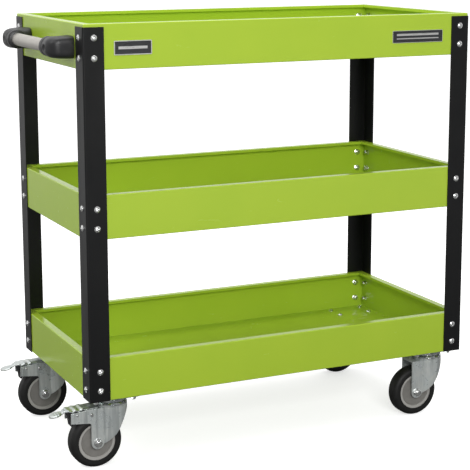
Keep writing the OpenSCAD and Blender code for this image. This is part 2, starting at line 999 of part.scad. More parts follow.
module brake_pedal() {
    step = 3;
    rib_radius = 9;
    color([0.66, 0.69, 0.69]) {
        tilted()
            intersection() {
                linear_extrude(castor_height)
                    pedal_plan();
                union() {
                    // Body sheet with pressed cross waves
                    translate([-pedal_body_end, -pedal_width, pedal_height])
                        cube([pedal_body_end - pedal_inner_end, 2 * pedal_width, pedal_sheet]);
                    intersection() {
                        translate([-pedal_body_end, -pedal_width, pedal_height])
                            cube([pedal_body_end - pedal_inner_end, 2 * pedal_width, 20]);
                        for (i = [0 : 2])
                            translate([-pedal_body_end + 7 + i * 14, 0,
                                       pedal_height + pedal_sheet + 1.8 - rib_radius])
                                rotate([90, 0, 0])
                                    cylinder(r = rib_radius, h = 2 * pedal_width, center = true);
                    }
                    // Step down to the neck and toe pad
                    translate([-pedal_body_end, 0, pedal_height + pedal_sheet / 2])
                        rotate([0, -35, 0])
                            translate([-7, -pedal_width, -pedal_sheet / 2])
                                cube([9, 2 * pedal_width, pedal_sheet]);
                    translate([-pedal_reach - 1, -pedal_width, pedal_height - step])
                        cube([pedal_reach - pedal_body_end - 2, 2 * pedal_width, pedal_sheet + 0.6]);
                    for (i = [0 : 2])
                        translate([-pedal_reach + 8 + i * 5, 0, pedal_height - step + pedal_sheet])
                            rotate([90, 0, 0])
                                cylinder(r = 1.4, h = 2 * pedal_width, center = true);
                }
            }
        // Ears turned down onto the pin
        for (side = [-1, 1])
            difference() {
                translate([-pedal_pin_setback, side * (pedal_width / 2 - pedal_sheet / 2), 0])
                    rotate([90, 0, 0])
                        linear_extrude(pedal_sheet, center = true) {
                            translate([0, pedal_pin_height])
                                circle(r = 5.4);
                            translate([-5.4, pedal_pin_height])
                                square([10.8, pedal_height - pedal_pin_height + pedal_sheet / 2]);
                        }
                translate([-pedal_pin_setback, 0, pedal_pin_height])
                    rotate([90, 0, 0])
                        cylinder(r = pedal_pin_radius + running_gap, h = 100, center = true);
            }
    }
}

// Pedal pin across both cheeks, and a short rivet in each arm
module brake_pins() {
    color([0.72, 0.73, 0.73]) {
        translate([-pedal_pin_setback, 0, pedal_pin_height])
            rotate([90, 0, 0]) {
                cylinder(r = pedal_pin_radius, h = 2 * cheek_outer + 1, center = true);
                for (side = [0, 1])
                    mirror([0, 0, side])
                        translate([0, 0, cheek_outer])
                            cylinder(r1 = pedal_pin_radius + 1.5, r2 = pedal_pin_radius, h = 1.4);
            }
        for (side = [-1, 1])
            translate([-brake_arm_reach + 13, side * cheek_outer, pedal_pin_height + 3])
                rotate([-90 * side, 0, 0]) {
                    translate([0, 0, -fork_sheet])
                        cylinder(r = 1.5, h = fork_sheet + 0.5);
                    cylinder(r1 = 2.6, r2 = 1.8, h = 1);
                }
    }
}

module brake_shoe() {
    color([0.05, 0.05, 0.05])
        rotate([90, 0, 0])
            linear_extrude(shoe_width, center = true)
                difference() {
                    translate([-pedal_pin_setback, pedal_pin_height])
                        rotate(pedal_tilt)
                            translate([pedal_pin_setback, -pedal_pin_height])
                                polygon([
                                    [-pedal_body_end + 16, pedal_height],
                                    [-pedal_body_end + 2, pedal_height],
                                    [-pedal_body_end + 2, pedal_height - 2],
                                    [-pedal_body_end + 10, pedal_height - 14],
                                    [-pedal_body_end + 12, pedal_height - 38],
                                    [-pedal_body_end + 32, pedal_height - 26],
                                    [-pedal_body_end + 26, pedal_height - 12]
                                ]);
                    translate([shoe_centre_x, shoe_centre_z])
                        circle(r = shoe_face_radius, $fn = 128);
                }
}

// The four castors' pieces, each in its place

module castor_plate_front_left() {
    at_castor(-1, -1)
        castor_plate();
}

module castor_plate_front_right() {
    at_castor(1, -1)
        castor_plate();
}

module castor_plate_back_left() {
    at_castor(-1, 1)
        castor_plate();
}

module castor_plate_back_right() {
    at_castor(1, 1)
        castor_plate();
}

module king_pin_front_left() {
    at_castor(-1, -1)
        king_pin();
}

module king_pin_front_right() {
    at_castor(1, -1)
        king_pin();
}

module king_pin_back_left() {
    at_castor(-1, 1)
        king_pin();
}

module king_pin_back_right() {
    at_castor(1, 1)
        king_pin();
}

module bearing_balls_front_left() {
    at_castor(-1, -1)
        bearing_balls();
}

module bearing_balls_front_right() {
    at_castor(1, -1)
        bearing_balls();
}

module bearing_balls_back_left() {
    at_castor(-1, 1)
        bearing_balls();
}

module bearing_balls_back_right() {
    at_castor(1, 1)
        bearing_balls();
}

module fork_front_left() {
    at_castor(-1, -1)
        fork(true);
}

module fork_front_right() {
    at_castor(1, -1)
        fork(false);
}

module fork_back_left() {
    at_castor(-1, 1)
        fork(true);
}

module fork_back_right() {
    at_castor(1, 1)
        fork(false);
}

module axle_front_left() {
    at_castor(-1, -1)
        axle();
}

module axle_front_right() {
    at_castor(1, -1)
        axle();
}

module axle_back_left() {
    at_castor(-1, 1)
        axle();
}

module axle_back_right() {
    at_castor(1, 1)
        axle();
}

module sleeve_front_left() {
    at_castor(-1, -1)
        sleeve();
}

module sleeve_front_right() {
    at_castor(1, -1)
        sleeve();
}

module sleeve_back_left() {
    at_castor(-1, 1)
        sleeve();
}

module sleeve_back_right() {
    at_castor(1, 1)
        sleeve();
}

module hub_front_left() {
    at_castor(-1, -1)
        hub();
}

module hub_front_right() {
    at_castor(1, -1)
        hub();
}

module hub_back_left() {
    at_castor(-1, 1)
        hub();
}

module hub_back_right() {
    at_castor(1, 1)
        hub();
}

module tyre_front_left() {
    at_castor(-1, -1)
        tyre();
}

module tyre_front_right() {
    at_castor(1, -1)
        tyre();
}

module tyre_back_left() {
    at_castor(-1, 1)
        tyre();
}

module tyre_back_right() {
    at_castor(1, 1)
        tyre();
}

module brake_pedal_front() {
    at_castor(-1, -1)
        brake_pedal();
}

module brake_pedal_back() {
    at_castor(-1, 1)
        brake_pedal();
}

module brake_pins_front() {
    at_castor(-1, -1)
        brake_pins();
}

module brake_pins_back() {
    at_castor(-1, 1)
        brake_pins();
}

module brake_shoe_front() {
    at_castor(-1, -1)
        brake_shoe();
}

module brake_shoe_back() {
    at_castor(-1, 1)
        brake_shoe();
}

top_tray();
middle_tray();
bottom_tray();
leg_front_left();
leg_front_right();
leg_back_left();
leg_back_right();
tray_screws();
tray_nuts();
handle_tube();
handle_bracket_front();
handle_bracket_back();
handle_screws();
name_plate_left();
name_plate_right();
castor_mount_screws();
castor_mount_nuts();
castor_plate_front_left();
castor_plate_front_right();
castor_plate_back_left();
castor_plate_back_right();
king_pin_front_left();
king_pin_front_right();
king_pin_back_left();
king_pin_back_right();
bearing_balls_front_left();
bearing_balls_front_right();
bearing_balls_back_left();
bearing_balls_back_right();
fork_front_left();
fork_front_right();
fork_back_left();
fork_back_right();
axle_front_left();
axle_front_right();
axle_back_left();
axle_back_right();
sleeve_front_left();
sleeve_front_right();
sleeve_back_left();
sleeve_back_right();
hub_front_left();
hub_front_right();
hub_back_left();
hub_back_right();
tyre_front_left();
tyre_front_right();
tyre_back_left();
tyre_back_right();
brake_pedal_front();
brake_pedal_back();
brake_pins_front();
brake_pins_back();
brake_shoe_front();
brake_shoe_back();
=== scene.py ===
"""The looks of a three-tier workshop trolley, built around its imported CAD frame.

Metres, +Z up, in the frame's own axes: +X along the trays away from the handle, -Y the front.
"""

import json
import math

import bmesh
import bpy
from mathutils import Matrix, Vector


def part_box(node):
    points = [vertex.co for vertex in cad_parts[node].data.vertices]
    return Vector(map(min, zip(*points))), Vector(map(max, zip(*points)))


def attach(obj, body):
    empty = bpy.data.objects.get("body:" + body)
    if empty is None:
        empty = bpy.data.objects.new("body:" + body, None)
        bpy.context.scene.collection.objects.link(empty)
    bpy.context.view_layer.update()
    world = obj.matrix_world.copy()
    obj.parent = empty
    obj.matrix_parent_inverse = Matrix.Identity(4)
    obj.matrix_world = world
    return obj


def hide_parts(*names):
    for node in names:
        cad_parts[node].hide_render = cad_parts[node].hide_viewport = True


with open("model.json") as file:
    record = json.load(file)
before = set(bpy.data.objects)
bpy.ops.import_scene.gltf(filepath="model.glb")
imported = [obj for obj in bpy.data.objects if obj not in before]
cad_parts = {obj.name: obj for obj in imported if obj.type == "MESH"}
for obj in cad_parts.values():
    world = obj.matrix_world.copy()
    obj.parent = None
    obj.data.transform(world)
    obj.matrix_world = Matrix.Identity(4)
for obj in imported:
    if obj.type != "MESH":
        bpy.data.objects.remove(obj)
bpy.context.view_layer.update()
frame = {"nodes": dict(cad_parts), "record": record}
MM = 0.001
RACE_HEIGHT = 125.5 * MM  # the castors' pressed sheet ends and their turned races begin

# Linear base colours
LIME = (0.380, 0.548, 0.034)
LIME_WARM = (0.400, 0.563, 0.036)
LEG_BLACK = (0.0035, 0.0038, 0.0040)
ZINC = (0.60, 0.65, 0.65)
ZINC_WARM = (0.70, 0.72, 0.69)
BRIGHT_ZINC = (0.72, 0.73, 0.73)
TUBE_GREY = (0.46, 0.44, 0.40)
PLASTIC_BLACK = (0.0075, 0.0075, 0.0088)
# The hub's grey inside the rim, painted darker as shade.
HUB_GREY_IN_SHADE = (0.200, 0.193, 0.178)
RUBBER = (0.0085, 0.0085, 0.0082)
PLATE_DARK = (0.020, 0.021, 0.023)
PLATE_LIGHT = (0.62, 0.62, 0.61)
FLOOR_NEAR_SHADED = (0.11, 0.11, 0.11)
FLOOR_FAR = (0.60, 0.60, 0.60)


# Node trees

class Look:
    """One procedural material, whose nodes are added by small helpers."""

    def __init__(self, name):
        self.material = bpy.data.materials.new(name)
        self.material.use_nodes = True
        self.tree = self.material.node_tree
        self.shader = self.tree.nodes["Principled BSDF"]
        self.place = self.add("ShaderNodeTexCoord").outputs["Object"]

    def add(self, kind, **values):
        node = self.tree.nodes.new(kind)
        for key, value in values.items():
            setattr(node, key, value)
        return node

    def join(self, source, target):
        self.tree.links.new(source, target)

    def set(self, **sockets):
        """Sets constants on the shader's own sockets, by name with _ for a space."""
        for key, value in sockets.items():
            socket = self.shader.inputs[key.replace("_", " ")]
            socket.default_value = (*value, 1.0) if isinstance(value, tuple) else value

    def stretched(self, scale=(1, 1, 1), turn=(0, 0, 0)):
        """The object's own coordinates, stretched for a grain that runs one way."""
        mapping = self.add("ShaderNodeMapping")
        mapping.inputs["Scale"].default_value = scale
        mapping.inputs["Rotation"].default_value = turn
        self.join(self.place, mapping.inputs["Vector"])
        return mapping.outputs["Vector"]

    def noise(self, scale, detail=3.0, rough=0.5, distortion=0.0, vector=None):
        node = self.add("ShaderNodeTexNoise")
        node.inputs["Scale"].default_value = scale
        node.inputs["Detail"].default_value = detail
        node.inputs["Roughness"].default_value = rough
        node.inputs["Distortion"].default_value = distortion
        self.join(vector or self.place, node.inputs["Vector"])
        return node.outputs["Fac"]

    def remap(self, value, low, high, to_low=0.0, to_high=1.0):
        node = self.add("ShaderNodeMapRange")
        self.join(value, node.inputs["Value"])
        limits = {"From Min": low, "From Max": high, "To Min": to_low, "To Max": to_high}
        for key, number in limits.items():
            node.inputs[key].default_value = number
        return node.outputs["Result"]

    def sum(self, first, second, operation="ADD"):
        node = self.add("ShaderNodeMath", operation=operation)
        for socket, value in zip(node.inputs, (first, second)):
            if isinstance(value, (int, float)):
                socket.default_value = value
            else:
                self.join(value, socket)
        return node.outputs[0]

    def blend(self, fac, first, second):
        """Mixes two colours, each a tuple or a socket, by fac."""
        node = self.add("ShaderNodeMix", data_type="RGBA")
        self.join(fac, node.inputs[0])
        for socket, value in ((node.inputs[6], first), (node.inputs[7], second)):
            if isinstance(value, tuple):
                socket.default_value = (*value, 1.0)
            else:
                self.join(value, socket)
        return node.outputs[2]

    def edges(self, radius, low=0.02, high=0.35):
        """1 on sharp edges and 0 on flat faces, from the rounded normal's turn."""
        bevel = self.add("ShaderNodeBevel", samples=6)
        bevel.inputs["Radius"].default_value = radius
        geometry = self.add("ShaderNodeNewGeometry")
        dot = self.add("ShaderNodeVectorMath", operation="DOT_PRODUCT")
        self.join(bevel.outputs["Normal"], dot.inputs[0])
        self.join(geometry.outputs["Normal"], dot.inputs[1])
        turned = self.sum(1.0, dot.outputs["Value"], "SUBTRACT")
        return self.remap(turned, low, high)

    def colour(self, socket):
        self.join(socket, self.shader.inputs["Base Color"])

    def roughness(self, socket):
        self.join(socket, self.shader.inputs["Roughness"])

    def bump(self, *layers, round_edges=0.0):
        """Stacks bump layers of (height socket, depth in metres, strength)."""
        normal = None
        if round_edges:
            bevel = self.add("ShaderNodeBevel", samples=4)
            bevel.inputs["Radius"].default_value = round_edges
            normal = bevel.outputs["Normal"]
        for height, depth, strength in layers:
            node = self.add("ShaderNodeBump")
            node.inputs["Strength"].default_value = strength
            node.inputs["Distance"].default_value = depth
            self.join(height, node.inputs["Height"])
            if normal:
                self.join(normal, node.inputs["Normal"])
            normal = node.outputs["Normal"]
        self.join(normal, self.shader.inputs["Normal"])


# Materials

def tray_paint():
    """Glossy lime powder coat with a fine orange peel, faint rub marks and edges painted paler as a
    highlight.
    """
    look = Look("tray_paint")
    patches = look.noise(7.0, 3.0, 0.55)
    base = look.blend(look.remap(patches, 0.35, 0.68), LIME, LIME_WARM)
    speck = look.noise(1400.0, 2.0, 0.6)
    base = look.blend(look.remap(speck, 0.60, 0.80, 0.0, 0.10), base, (0.50, 0.66, 0.09))
    # Painted highlight: the edges and fold radii are painted a paler green.
    base = look.blend(look.remap(look.edges(0.0012), 0.2, 1.0, 0.0, 0.30), base, (0.56, 0.72, 0.14))
    look.colour(base)
    rubs = look.noise(60.0, 6.0, 0.7, 0.6, look.stretched((0.25, 1.0, 1.0), (0.0, 0.0, 0.35)))
    look.roughness(look.remap(rubs, 0.30, 0.75, 0.20, 0.29))
    peel = look.noise(420.0, 2.0, 0.45)
    wave = look.noise(95.0, 1.0, 0.4)
    look.set(Coat_Weight=0.22, Coat_Roughness=0.06, IOR=1.45)
    look.bump((wave, 0.0005, 0.02), (peel, 0.00015, 0.04))
    return look.material


def leg_paint():
    """Satin black powder coat with a tight texture and edges painted grey as a highlight."""
    look = Look("leg_paint")
    patches = look.noise(16.0, 4.0, 0.6)
    base = look.blend(look.remap(patches, 0.3, 0.7), LEG_BLACK, (0.0055, 0.0056, 0.0060))
    # Painted highlight: the edges are painted dark grey over the black.
    base = look.blend(look.remap(look.edges(0.0012), 0.25, 1.0, 0.0, 0.35), base, (0.05, 0.05, 0.052))
    look.colour(base)
    smears = look.noise(30.0, 5.0, 0.65, 0.4, look.stretched((1.0, 1.0, 0.2)))
    look.roughness(look.remap(smears, 0.3, 0.75, 0.30, 0.42))
    look.set(IOR=1.36)
    look.bump((look.noise(650.0, 3.0, 0.55), 0.00025, 0.28), round_edges=0.0004)
    return look.material


def zinc(name, colours, roughness, grain=(1.0, 1.0, 0.12), depth=0.00018,
         shade_banding=0.0, matt_below=0.0):
    """Zinc-plated pressing: clouded blue-grey passivation with faint drawn streaks, darker vertical bands
    painted as shade and edges painted paler as a highlight.

    matt_below is the height that parts the dull pressed sheet from the turned races above it.
    """
    look = Look(name)
    clouds = look.noise(45.0, 5.0, 0.6, 0.5)
    base = look.blend(look.remap(clouds, 0.32, 0.68), *colours)
    streaks = look.noise(420.0, 4.0, 0.6, 0.0, look.stretched(grain))
    dim = tuple(0.55 * channel for channel in colours[0])
    base = look.blend(look.remap(streaks, 0.48, 0.75, 0.0, 0.35), base, dim)
    # Painted shade: darker vertical bands stand in for the shade bands along the curved skirts.
    shade_bands = look.noise(110.0, 1.0, 0.4, 0.0, look.stretched((1.0, 1.0, 0.05)))
    base = look.blend(look.remap(shade_bands, 0.50, 0.62, 0.0, shade_banding), base, dim)
    # Painted highlight: the edges are painted near white.
    base = look.blend(look.remap(look.edges(0.0010), 0.25, 1.0, 0.0, 0.6), base, (0.86, 0.88, 0.88))
    look.colour(base)
    rough = look.remap(clouds, 0.3, 0.7, *roughness)
    if matt_below:
        split = look.add("ShaderNodeSeparateXYZ")
        look.join(look.place, split.inputs[0])
        turned = look.remap(split.outputs["Z"], matt_below, matt_below + 2 * MM)
        look.join(look.remap(turned, 0.0, 1.0, 0.55, 1.0), look.shader.inputs["Metallic"])
        rough = look.sum(rough, look.remap(turned, 0.0, 1.0, 1.0, 0.5), "MULTIPLY")
    else:
        look.set(Metallic=1.0)
    look.roughness(rough)
    look.bump((look.noise(160.0, 3.0, 0.5), 0.0004, 0.10), (streaks, depth, 0.16), round_edges=0.0004)
    return look.material


def tube_metal():
    """Satin grey tube, brushed along its length."""
    look = Look("tube_metal")
    brushing = look.noise(900.0, 5.0, 0.65, 0.0, look.stretched((1.0, 0.03, 1.0)))
    clouds = look.noise(24.0, 3.0, 0.5)
    base = look.blend(look.remap(brushing, 0.35, 0.65), TUBE_GREY, (0.56, 0.54, 0.50))
    base = look.blend(look.remap(clouds, 0.35, 0.7, 0.0, 0.3), base, (0.38, 0.36, 0.33))
    look.colour(base)
    look.roughness(look.remap(brushing, 0.3, 0.7, 0.36, 0.52))
    look.set(Metallic=0.75)
    look.bump((brushing, 0.0001, 0.22))
    return look.material


def moulded_plastic(name, colour, pale, roughness):
    """Moulded plastic with a fine spark-eroded grain and slight flow marks."""
    look = Look(name)
    flow = look.noise(38.0, 4.0, 0.6, 1.2)
    base = look.blend(look.remap(flow, 0.3, 0.7), colour, pale)
    look.colour(base)
    look.roughness(look.remap(flow, 0.3, 0.7, *roughness))
    look.set(IOR=1.48)
    look.bump((look.noise(1100.0, 3.0, 0.6), 0.0002, 0.30), round_edges=0.0006)
    return look.material


def wheel_rings(look, centre):
    """Distance from a wheel's axle line, which runs along Y through centre."""
    shift = look.add("ShaderNodeVectorMath", operation="SUBTRACT")
    look.join(look.place, shift.inputs[0])
    shift.inputs[1].default_value = centre
    flat = look.add("ShaderNodeVectorMath", operation="MULTIPLY")
    look.join(shift.outputs[0], flat.inputs[0])
    flat.inputs[1].default_value = (1.0, 0.0, 1.0)
    length = look.add("ShaderNodeVectorMath", operation="LENGTH")
    look.join(flat.outputs[0], length.inputs[0])
    return length.outputs["Value"]


def hub_plastic(name, centre):
    """Warm grey hub with turned rings; inside its pale rim the recess is painted darker as shade."""
    look = Look(name)
    radius = wheel_rings(look, centre)
    flow = look.noise(55.0, 4.0, 0.6, 0.8)
    base = look.blend(look.remap(flow, 0.3, 0.7), HUB_GREY_IN_SHADE, (0.235, 0.227, 0.210))
    # Painted shade: the hub inside the rim keeps the darker grey, and the rim is pale.
    rim = look.remap(radius, 0.0315, 0.0322)
    base = look.blend(rim, base, (0.42, 0.41, 0.385))
    look.colour(base)
    look.roughness(look.remap(flow, 0.3, 0.7, 0.38, 0.55))
    rings = look.add("ShaderNodeMath", operation="SINE")
    look.join(look.sum(radius, 2600.0, "MULTIPLY"), rings.inputs[0])
    look.bump((rings.outputs[0], 0.00006, 0.25), (look.noise(1200.0, 2.0, 0.5), 0.00015, 0.2),
              round_edges=0.0005)
    return look.material


def tyre_rubber(name, centre):
    """Black rubber: dusty tread, fine moulding lines on the sidewall."""
    look = Look(name)
    radius = wheel_rings(look, centre)
    dust = look.noise(70.0, 6.0, 0.7, 0.6)
    tread = look.remap(radius, 0.0490, 0.0529)
    dusty = look.sum(look.remap(dust, 0.45, 0.75), tread, "MULTIPLY")
    base = look.blend(look.remap(dust, 0.3, 0.7), RUBBER, (0.0125, 0.0125, 0.012))
    base = look.blend(look.sum(dusty, 0.22, "MULTIPLY"), base, (0.060, 0.058, 0.054))
    look.colour(base)
    look.roughness(look.remap(dust, 0.3, 0.7, 0.46, 0.66))
    rings = look.add("ShaderNodeMath", operation="SINE")
    look.join(look.sum(radius, 3800.0, "MULTIPLY"), rings.inputs[0])
    look.set(IOR=1.38)
    look.bump((rings.outputs[0], 0.00008, 0.18), (look.noise(900.0, 4.0, 0.65), 0.0002, 0.35))
    return look.material


def name_plate(name, low, high, border, bars):
    """Blank plate: dark field, metal border and plain pale bars at (height, half-height, half-length)."""
    look = Look(name)
    centre = (low + high) / 2
    half = (high - low) / 2
    split = look.add("ShaderNodeSeparateXYZ")
    look.join(look.place, split.inputs[0])

    def away(axis, middle):
        offset = look.sum(split.outputs[axis], middle, "SUBTRACT")
        node = look.add("ShaderNodeMath", operation="ABSOLUTE")
        look.join(offset, node.inputs[0])
        return node.outputs[0]

    across, up = away("X", centre.x), away("Z", centre.z)
    sharp = 0.0002
    mask = look.sum(look.remap(across, half.x - border - sharp, half.x - border),
                    look.remap(up, half.z - border - sharp, half.z - border), "MAXIMUM")
    for height, half_height, half_length in bars:
        near = look.remap(away("Z", centre.z + height), half_height, half_height + sharp, 1.0, 0.0)
        inside = look.remap(across, half_length, half_length + sharp, 1.0, 0.0)
        mask = look.sum(mask, look.sum(near, inside, "MULTIPLY"), "MAXIMUM")
    grain = look.noise(700.0, 4.0, 0.6, 0.0, look.stretched((0.05, 1.0, 1.0)))
    field = look.blend(look.remap(grain, 0.3, 0.7), PLATE_DARK, (0.030, 0.032, 0.035))
    metal = look.blend(look.remap(grain, 0.3, 0.7), PLATE_LIGHT, (0.74, 0.74, 0.73))
    look.colour(look.blend(mask, field, metal))
    look.roughness(look.remap(grain, 0.3, 0.7, 0.24, 0.40))
    look.join(look.sum(mask, 0.8, "MULTIPLY"), look.shader.inputs["Metallic"])
    look.bump((grain, 0.00005, 0.2), round_edges=0.0003)
    return look.material


# Pieces in smooth mesh

def ease(value, low, high):
    """0 below low, 1 above high and a smooth step between."""
    t = min(max((value - low) / (high - low), 0.0), 1.0)
    return t * t * (3.0 - 2.0 * t)


def loft(rings):
    """Closed rings of points joined in turn, and closed at both ends."""
    count = len(rings[0])
    points = [point for ring in rings for point in ring]
    faces = []
    for i in range(len(rings) - 1):
        near, far = i * count, (i + 1) * count
        for j in range(count):
            following = (j + 1) % count
            faces.append((near + j, near + following, far + following, far + j))
    last = (len(rings) - 1) * count
    return points, faces + [tuple(range(count)), tuple(range(last, last + count))]


def smooth_piece(name, shells, material, body, node):
    """One object from lofted shells in millimetres, which stands for a CAD node."""
    mesh = bpy.data.meshes.new(name)
    build = bmesh.new()
    for points, faces in shells:
        corners = [build.verts.new(Vector(point) * MM) for point in points]
        for face in faces:
            build.faces.new([corners[i] for i in face])
    bmesh.ops.recalc_face_normals(build, faces=build.faces)
    for face in build.faces:
        face.smooth = True
    build.to_mesh(mesh)
    build.free()
    mesh.set_sharp_from_angle(angle=math.radians(50.0))
    mesh.materials.append(material)
    piece = bpy.data.objects.new(name, mesh)
    bpy.context.collection.objects.link(piece)
    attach(piece, body)
    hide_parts(node)


def squircle(angle, power):
    """A point on a superellipse of half-sizes 1; a higher power is squarer."""
    c, s = math.cos(angle), math.sin(angle)
    return (math.copysign(abs(c) ** (2.0 / power), c), math.copysign(abs(s) ** (2.0 / power), s))


# The handle bracket's shape, in millimetres
REACH = 33.0  # from the tray's wall to the tube's axis
COLLAR = 19.0  # radius of the collar round the tube
LIP = 4.0  # length of the lip where the tube enters
SETBACK = 11.0  # from the lip's face to the foot's inner end
CORNER = 24.0  # radius of the outer bend
FLARE = 2.5  # height gained above and below towards the foot
LIP_RINGS = ((15.5, 0.0), (17.3, 0.8), (17.6, LIP))  # radius, distance along the tube
GROOVE_AT, GROOVE_WIDTH, GROOVE_DEPTH = 17.0, 1.7, 1.0
MOUTH_DEPTH, MOUTH_LENGTH = 0.9, 1.6  # step from the lip up to the collar
SCREW_DIP_AT, SCREW_DIP_LENGTH, SCREW_DIP_HEIGHT, SCREW_DIP_DEPTH = 33.0, 8.0, 6.5, 3.4


def outer_edge(run, depth, length):
    """Point at distance run along the bracket's outer edge: (from the wall, along the tube)."""
    straight = length - CORNER - LIP
    bend = CORNER * math.pi / 2
    if run < straight:
        return depth, LIP + run
    if run < straight + bend:
        turn = (run - straight) / CORNER
        return depth - CORNER + CORNER * math.cos(turn), length - CORNER + CORNER * math.sin(turn)
    return depth - CORNER - (run - straight - bend), length


def handle_bracket(node, material):
    """Moulded bracket: a round collar that turns and widens into a squarish foot on the wall."""
    low, high = (Vector(corner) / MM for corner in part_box(node))
    front = low.y + high.y < 0
    wall, height = high.x, (low.z + high.z) / 2
    start, way = (high.y, -1.0) if front else (low.y, 1.0)
    depth, length = high.x - low.x, high.y - low.y
    total = (length - CORNER - LIP) + CORNER * math.pi / 2 + (depth - CORNER)
    around, along = 64, 72
    rings = []
    for radius, out in LIP_RINGS:
        rings.append([
            (wall - REACH - radius * math.cos(a), start + way * out, height + radius * math.sin(a))
            for a in (2 * math.pi * j / around for j in range(around))
        ])
    for i in range(along + 1):
        t = i / along
        run = t * total
        outer = outer_edge(run, depth, length)
        inner = ((REACH - COLLAR) * (1.0 - ease(t, 0.0, 0.75)),
                 LIP + (SETBACK - LIP) * ease(t, 0.1, 1.0))
        power = 2.0 + 2.6 * ease(t, 0.15, 0.9)
        tall = COLLAR + FLARE * ease(t, 0.1, 0.9)
        groove = GROOVE_DEPTH * math.exp(-((run - GROOVE_AT) / GROOVE_WIDTH) ** 2)
        groove += MOUTH_DEPTH * (1.0 - ease(run, 0.0, MOUTH_LENGTH))
        ring = []
        for j in range(around):
            u, v = squircle(2 * math.pi * j / around, power)
            half = 0.5 * math.hypot(outer[0] - inner[0], outer[1] - inner[1])
            shrink = (half - groove) / half
            z = v * (tall - groove)
            off = ((run - SCREW_DIP_AT) / SCREW_DIP_LENGTH) ** 2 + (z / SCREW_DIP_HEIGHT) ** 2
            dip = max(0.0, 1.0 - off) if u > 0 else 0.0
            pull = u * shrink - SCREW_DIP_DEPTH * dip ** 0.6 / half
            p = 0.5 * (outer[0] + inner[0]) + 0.5 * (outer[0] - inner[0]) * pull
            q = 0.5 * (outer[1] + inner[1]) + 0.5 * (outer[1] - inner[1]) * pull
            ring.append((wall - p, start + way * q, height + z))
        rings.append(ring)
    smooth_piece("smooth_" + node, [loft(rings)], material, "frame", node)


# The pedal's shape, in millimetres from the king pin's axis and from the floor
PEDAL_TIP, BODY_END, INNER_END = -128.0, -99.0, -33.5
PIN_X, PIN_HEIGHT, SHEET_TOP = -47.0, 111.3, 126.0
PEDAL_TILT = math.radians(3.0)
TOE_RADIUS, NECK_HALF, BODY_GAIN = 13.0, 7.5, 9.5
WAVE_LENGTH, WAVE_HEIGHT, WAVE_CREST = 14.0, 0.75, 92.0
RIB_LENGTH, RIB_HEIGHT = 5.0, 0.12
PEDAL_SHEET, EDGE_CURL = 2.0, 1.7
EAR_RADIUS, EAR_SIDES = 5.4, (14.4, 16.4)


def pedal_half_width(x):
    """A round toe pad, a narrow neck and a wide body."""
    if x > BODY_END - 4.0:
        return NECK_HALF + BODY_GAIN * ease(x, BODY_END - 4.0, BODY_END + 13.0)
    from_toe = x - PEDAL_TIP - TOE_RADIUS
    pad = math.sqrt(max(0.6, TOE_RADIUS ** 2 - from_toe ** 2))
    return max(pad, NECK_HALF) if x > PEDAL_TIP + TOE_RADIUS else pad


def pedal_top(x):
    """Height of the pedal's top face: waves on the body, a step down, and a drooping toe pad."""
    wave = WAVE_HEIGHT * (1.0 + math.cos(2 * math.pi * (x + WAVE_CREST) / WAVE_LENGTH))
    wave *= ease(x, BODY_END - 0.5, BODY_END + 5.0) * (1.0 - ease(x, -61.0, -57.0))
    step = 3.0 * (1.0 - ease(x, BODY_END - 5.0, BODY_END + 1.0))
    droop = 0.16 * max(0.0, BODY_END - 4.0 - x)
    ribs = RIB_HEIGHT * (1.0 + math.cos(2 * math.pi * x / RIB_LENGTH))
    ribs *= ease(-x, 106.0, 110.0) * ease(x, -125.0, -121.0)
    return SHEET_TOP + wave - step - droop + ribs


def brake_pedal(node, king_pin, body, material):
    """Pressed pedal sheet with rolled edges and two ears on the pin."""
    low, high = (Vector(corner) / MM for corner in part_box(king_pin))
    middle = (low + high) / 2
    count, steps = 14, 170
    rings = []
    for i in range(steps + 1):
        x = INNER_END + (PEDAL_TIP + 0.1 - INNER_END) * i / steps
        w, top = pedal_half_width(x), pedal_top(x)
        ring = []
        for side, thickness in ((1, 0.0), (-1, PEDAL_SHEET)):
            for j in range(count + 1):
                v = side * (1.0 - 2.0 * j / count)
                curl = EDGE_CURL * abs(v) ** 5
                ring.append((x, w * v, top - curl - thickness))
        rings.append(ring)
    c, s = math.cos(PEDAL_TILT), math.sin(PEDAL_TILT)
    points, faces = loft(rings)
    turned = [
        (PIN_X + (x - PIN_X) * c - (z - PIN_HEIGHT) * s, y,
         PIN_HEIGHT + (x - PIN_X) * s + (z - PIN_HEIGHT) * c)
        for x, y, z in points
    ]
    shells = [(turned, faces)]
    for side in (-1, 1):
        outline = [
            (PIN_X + EAR_RADIUS * math.cos(a), PIN_HEIGHT + EAR_RADIUS * math.sin(a))
            for a in (math.pi + math.pi * j / 16 for j in range(17))
        ]
        under_sheet = SHEET_TOP - 1.9
        outline += [(PIN_X + EAR_RADIUS, under_sheet), (PIN_X - EAR_RADIUS, under_sheet)]
        shells.append(loft([[(x, side * y, z) for x, z in outline] for y in EAR_SIDES]))
    placed = [
        ([(x + middle.x, y + middle.y, z) for x, y, z in points], faces)
        for points, faces in shells
    ]
    smooth_piece("smooth_" + node, placed, material, body, node)


def smooth_pieces(black, pedal_zinc):
    """The two handle brackets and the two brake pedals, front and back."""
    for end in ("front", "back"):
        handle_bracket("handle_bracket_" + end, black)
        brake_pedal("brake_pedal_" + end, "king_pin_" + end + "_left", "pedal_" + end, pedal_zinc)


def dress(node, material):
    """Gives a CAD node one material in every slot."""
    for slot in frame["nodes"][node].material_slots:
        slot.material = material


def middle_of(node):
    """The middle of a node's box, which for a wheel's pieces is on the axle line."""
    low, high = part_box(node)
    return tuple((Vector(low) + Vector(high)) / 2)


